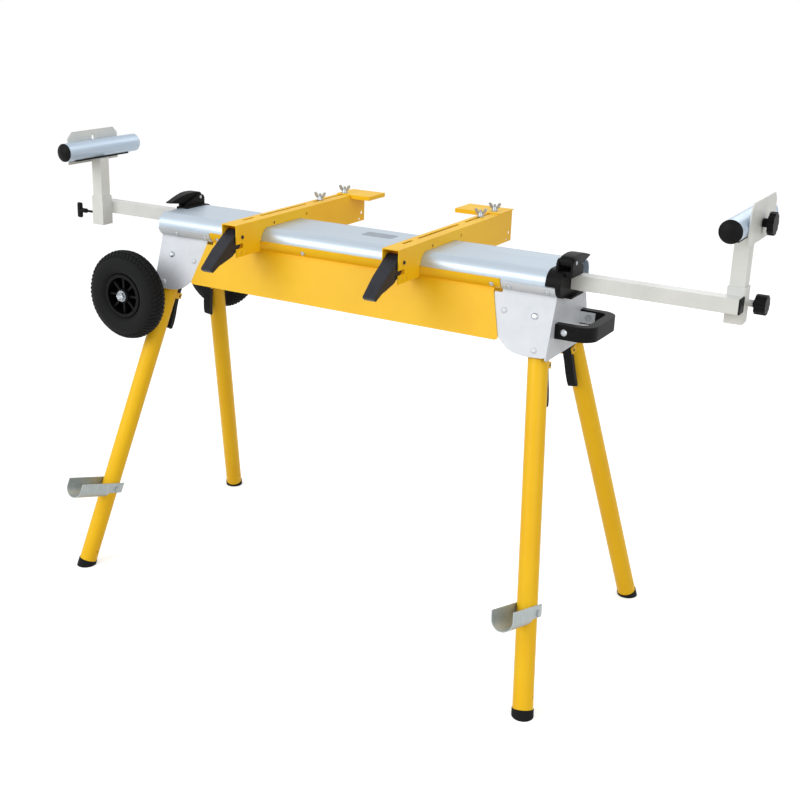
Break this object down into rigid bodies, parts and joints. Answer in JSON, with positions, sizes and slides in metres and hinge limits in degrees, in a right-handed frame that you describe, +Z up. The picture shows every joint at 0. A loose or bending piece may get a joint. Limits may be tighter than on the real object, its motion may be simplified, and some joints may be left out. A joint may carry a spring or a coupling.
{
  "type": "miter saw stand",
  "caption": "Folding wheeled stand for a miter saw: aluminium beam on splayed legs, sliding saw rails, extending work supports.",
  "frame": {"origin": "on the floor, under the middle of the whole stand's box", "axes": "+X to the right along the beam, +Y away from the viewer, +Z up"},
  "size_m": [1.7388, 0.7379, 1.037],
  "materials": {
    "yellow_coat": "semi-gloss",
    "silver_coat": "satin",
    "beam_alu": "satin",
    "tube_alu": "satin",
    "arm_coat": "satin",
    "black_plastic": "matt",
    "lever_grey": "matt",
    "zinc": "bright",
    "galvanised": "satin",
    "tyre_rubber": "matt",
    "foot_rubber": "matt"
  },
  "bodies": {
    "stand_body": {"beam": "beam_alu", "skirt_front": "yellow_coat", "skirt_rear": "yellow_coat", "end_bracket_left": "silver_coat", "end_bracket_right": "silver_coat", "flange_screws": "zinc", "leg_pivot_bolts": "zinc", "carry_handle": "black_plastic", "end_bolts": "zinc", "clamp_block_left": "black_plastic", "clamp_block_right": "black_plastic", "cam_pins": "zinc", "wheel_bracket": "silver_coat", "wheel_axle": "zinc"},
    "wheel_front": {"tyre_front": "tyre_rubber", "rim_front": "black_plastic"},
    "wheel_rear": {"tyre_rear": "tyre_rubber", "rim_rear": "black_plastic"},
    "cam_left": {"cam_lever_left": "black_plastic"},
    "cam_right": {"cam_lever_right": "black_plastic"},
    "arm_unit_left": {"arm_left": "arm_coat", "arm_plug_left": "black_plastic"},
    "arm_unit_right": {"arm_right": "arm_coat", "arm_plug_right": "black_plastic"},
    "post_unit_left": {"post_left": "arm_coat", "saddle_left": "black_plastic", "support_tube_left": "tube_alu", "tube_caps_left": "black_plastic"},
    "post_screw_left": {"post_knob_left": "black_plastic"},
    "stop_left": {"stop_plate_left": "arm_coat"},
    "stop_screw_left": {"stop_knob_left": "black_plastic"},
    "rail_left": {"saw_rail_left": "yellow_coat"},
    "rail_clamp_left": {"rail_lever_left": "lever_grey"},
    "wing_left": {"wing_plate_left": "yellow_coat", "wing_nuts_left": "zinc"},
    "post_unit_right": {"post_right": "arm_coat", "saddle_right": "black_plastic", "support_tube_right": "tube_alu", "tube_caps_right": "black_plastic"},
    "post_screw_right": {"post_knob_right": "black_plastic"},
    "stop_right": {"stop_plate_right": "arm_coat"},
    "stop_screw_right": {"stop_knob_right": "black_plastic"},
    "rail_right": {"saw_rail_right": "yellow_coat"},
    "rail_clamp_right": {"rail_lever_right": "lever_grey"},
    "wing_right": {"wing_plate_right": "yellow_coat", "wing_nuts_right": "zinc"},
    "leg_unit_front_left": {"leg_front_left": "yellow_coat", "foot_front_left": "foot_rubber"},
    "lock_front_left": {"lock_lever_front_left": "black_plastic"},
    "leg_unit_front_right": {"leg_front_right": "yellow_coat", "foot_front_right": "foot_rubber"},
    "lock_front_right": {"lock_lever_front_right": "black_plastic"},
    "leg_unit_rear_left": {"leg_rear_left": "yellow_coat", "foot_rear_left": "foot_rubber"},
    "lock_rear_left": {"lock_lever_rear_left": "black_plastic"},
    "leg_unit_rear_right": {"leg_rear_right": "yellow_coat", "foot_rear_right": "foot_rubber"},
    "lock_rear_right": {"lock_lever_rear_right": "black_plastic"},
    "hook_unit_left": {"hook_left": "galvanised"},
    "hook_unit_right": {"hook_right": "galvanised"}
  },
  "joints": [
    {"name": "wheel_front_spin", "type": "hinge", "parent": "stand_body", "child": "wheel_front", "pos_m": [-0.561, -0.181, 0.676], "axis": [0, 1, 0], "continuous": true},
    {"name": "wheel_rear_spin", "type": "hinge", "parent": "stand_body", "child": "wheel_rear", "pos_m": [-0.561, 0.181, 0.676], "axis": [0, 1, 0], "continuous": true},
    {"name": "cam_right_hinge", "type": "hinge", "parent": "stand_body", "child": "cam_right", "pos_m": [0.495, -0.061, 0.879], "axis": [1, 0, 0], "range_deg": [0, 100]},
    {"name": "cam_left_hinge", "type": "hinge", "parent": "stand_body", "child": "cam_left", "pos_m": [-0.549, 0.061, 0.879], "axis": [-1, 0, 0], "range_deg": [0, 100]},
    {"name": "arm_right_slide", "type": "slide", "parent": "stand_body", "child": "arm_unit_right", "axis": [1, 0, 0], "range_m": [-0.2, 0.3]},
    {"name": "arm_left_slide", "type": "slide", "parent": "stand_body", "child": "arm_unit_left", "axis": [-1, 0, 0], "range_m": [-0.185, 0.3]},
    {"name": "post_right_slide", "type": "slide", "parent": "arm_unit_right", "child": "post_unit_right", "axis": [0, 0, 1], "range_m": [-0.07, 0.04]},
    {"name": "post_right_knob_turn", "type": "hinge", "parent": "arm_unit_right", "child": "post_screw_right", "pos_m": [0.829, 0.0104, 0.8335], "axis": [1, 0, 0], "continuous": true},
    {"name": "stop_right_slide", "type": "slide", "parent": "post_unit_right", "child": "stop_right", "axis": [0, 0, 1], "range_m": [-0.02, 0.012]},
    {"name": "stop_right_knob_turn", "type": "hinge", "parent": "post_unit_right", "child": "stop_screw_right", "pos_m": [0.839, 0.003, 0.99], "axis": [1, 0, 0], "continuous": true},
    {"name": "post_left_slide", "type": "slide", "parent": "arm_unit_left", "child": "post_unit_left", "axis": [0, 0, 1], "range_m": [-0.07, 0.04]},
    {"name": "post_left_knob_turn", "type": "hinge", "parent": "arm_unit_left", "child": "post_screw_left", "pos_m": [-0.807, -0.0104, 0.818], "axis": [-1, 0, 0], "continuous": true},
    {"name": "stop_left_slide", "type": "slide", "parent": "post_unit_left", "child": "stop_left", "axis": [0, 0, 1], "range_m": [-0.02, 0.012]},
    {"name": "stop_left_knob_turn", "type": "hinge", "parent": "post_unit_left", "child": "stop_screw_left", "pos_m": [-0.817, -0.003, 0.983], "axis": [-1, 0, 0], "continuous": true},
    {"name": "rail_right_slide", "type": "slide", "parent": "stand_body", "child": "rail_right", "axis": [1, 0, 0], "range_m": [-0.11, 0.21]},
    {"name": "rail_lever_right_hinge", "type": "hinge", "parent": "rail_right", "child": "rail_clamp_right", "pos_m": [0.158, -0.163, 0.853], "axis": [-1, 0, 0], "range_deg": [0, 35]},
    {"name": "wing_right_slide", "type": "slide", "parent": "rail_right", "child": "wing_right", "axis": [0, 1, 0], "range_m": [-0.018, 0.02]},
    {"name": "rail_left_slide", "type": "slide", "parent": "stand_body", "child": "rail_left", "axis": [1, 0, 0], "range_m": [-0.21, 0.11]},
    {"name": "rail_lever_left_hinge", "type": "hinge", "parent": "rail_left", "child": "rail_clamp_left", "pos_m": [-0.253, -0.163, 0.853], "axis": [-1, 0, 0], "range_deg": [0, 35]},
    {"name": "wing_left_slide", "type": "slide", "parent": "rail_left", "child": "wing_left", "axis": [0, 1, 0], "range_m": [-0.018, 0.02]},
    {"name": "leg_front_left_fold", "type": "hinge", "parent": "stand_body", "child": "leg_unit_front_left", "pos_m": [-0.4967, -0.0638, 0.7574], "axis": [0, -0.9529, 0.3034], "range_deg": [0, 92.8]},
    {"name": "lock_front_left_squeeze", "type": "hinge", "parent": "leg_unit_front_left", "child": "lock_front_left", "pos_m": [-0.51118, -0.06465, 0.65914], "axis": [-0.9883, 0.0463, 0.1453], "range_deg": [0, 7], "stiffness_Nm_per_rad": 0.6},
    {"name": "leg_front_right_fold", "type": "hinge", "parent": "stand_body", "child": "leg_unit_front_right", "pos_m": [0.4427, -0.0638, 0.7574], "axis": [0.0333, 0.9539, -0.2983], "range_deg": [0, 100.5]},
    {"name": "lock_front_right_squeeze", "type": "hinge", "parent": "leg_unit_front_right", "child": "lock_front_right", "pos_m": [0.45718, -0.06465, 0.65914], "axis": [-0.9883, -0.0463, -0.1453], "range_deg": [0, 7], "stiffness_Nm_per_rad": 0.6},
    {"name": "leg_rear_left_fold", "type": "hinge", "parent": "stand_body", "child": "leg_unit_rear_left", "pos_m": [-0.4967, 0.0638, 0.7574], "axis": [0, -0.9529, -0.3034], "range_deg": [0, 92.8]},
    {"name": "lock_rear_left_squeeze", "type": "hinge", "parent": "leg_unit_rear_left", "child": "lock_rear_left", "pos_m": [-0.51118, 0.06465, 0.65914], "axis": [0.9883, 0.0463, -0.1453], "range_deg": [0, 7], "stiffness_Nm_per_rad": 0.6},
    {"name": "leg_rear_right_fold", "type": "hinge", "parent": "stand_body", "child": "leg_unit_rear_right", "pos_m": [0.4427, 0.0638, 0.7574], "axis": [-0.0333, 0.9539, 0.2983], "range_deg": [0, 100.5]},
    {"name": "lock_rear_right_squeeze", "type": "hinge", "parent": "leg_unit_rear_right", "child": "lock_rear_right", "pos_m": [0.45718, 0.06465, 0.65914], "axis": [0.9883, -0.0463, 0.1453], "range_deg": [0, 7], "stiffness_Nm_per_rad": 0.6},
    {"name": "hook_left_fold", "type": "hinge", "parent": "leg_unit_front_left", "child": "hook_unit_left", "pos_m": [-0.58765, -0.24264, 0.19566], "axis": [-0.9883, 0.0463, 0.1453], "range_deg": [0, 90]},
    {"name": "hook_right_fold", "type": "hinge", "parent": "leg_unit_front_right", "child": "hook_unit_right", "pos_m": [0.53365, -0.24264, 0.19566], "axis": [-0.9883, -0.0463, -0.1453], "range_deg": [0, 90]}
  ],
  "couplings": [
    {"joint": "hook_right_fold", "follows": "leg_front_right_fold", "ratio": 0.8955},
    {"joint": "hook_left_fold", "follows": "leg_front_left_fold", "ratio": 0.9698}
  ]
}
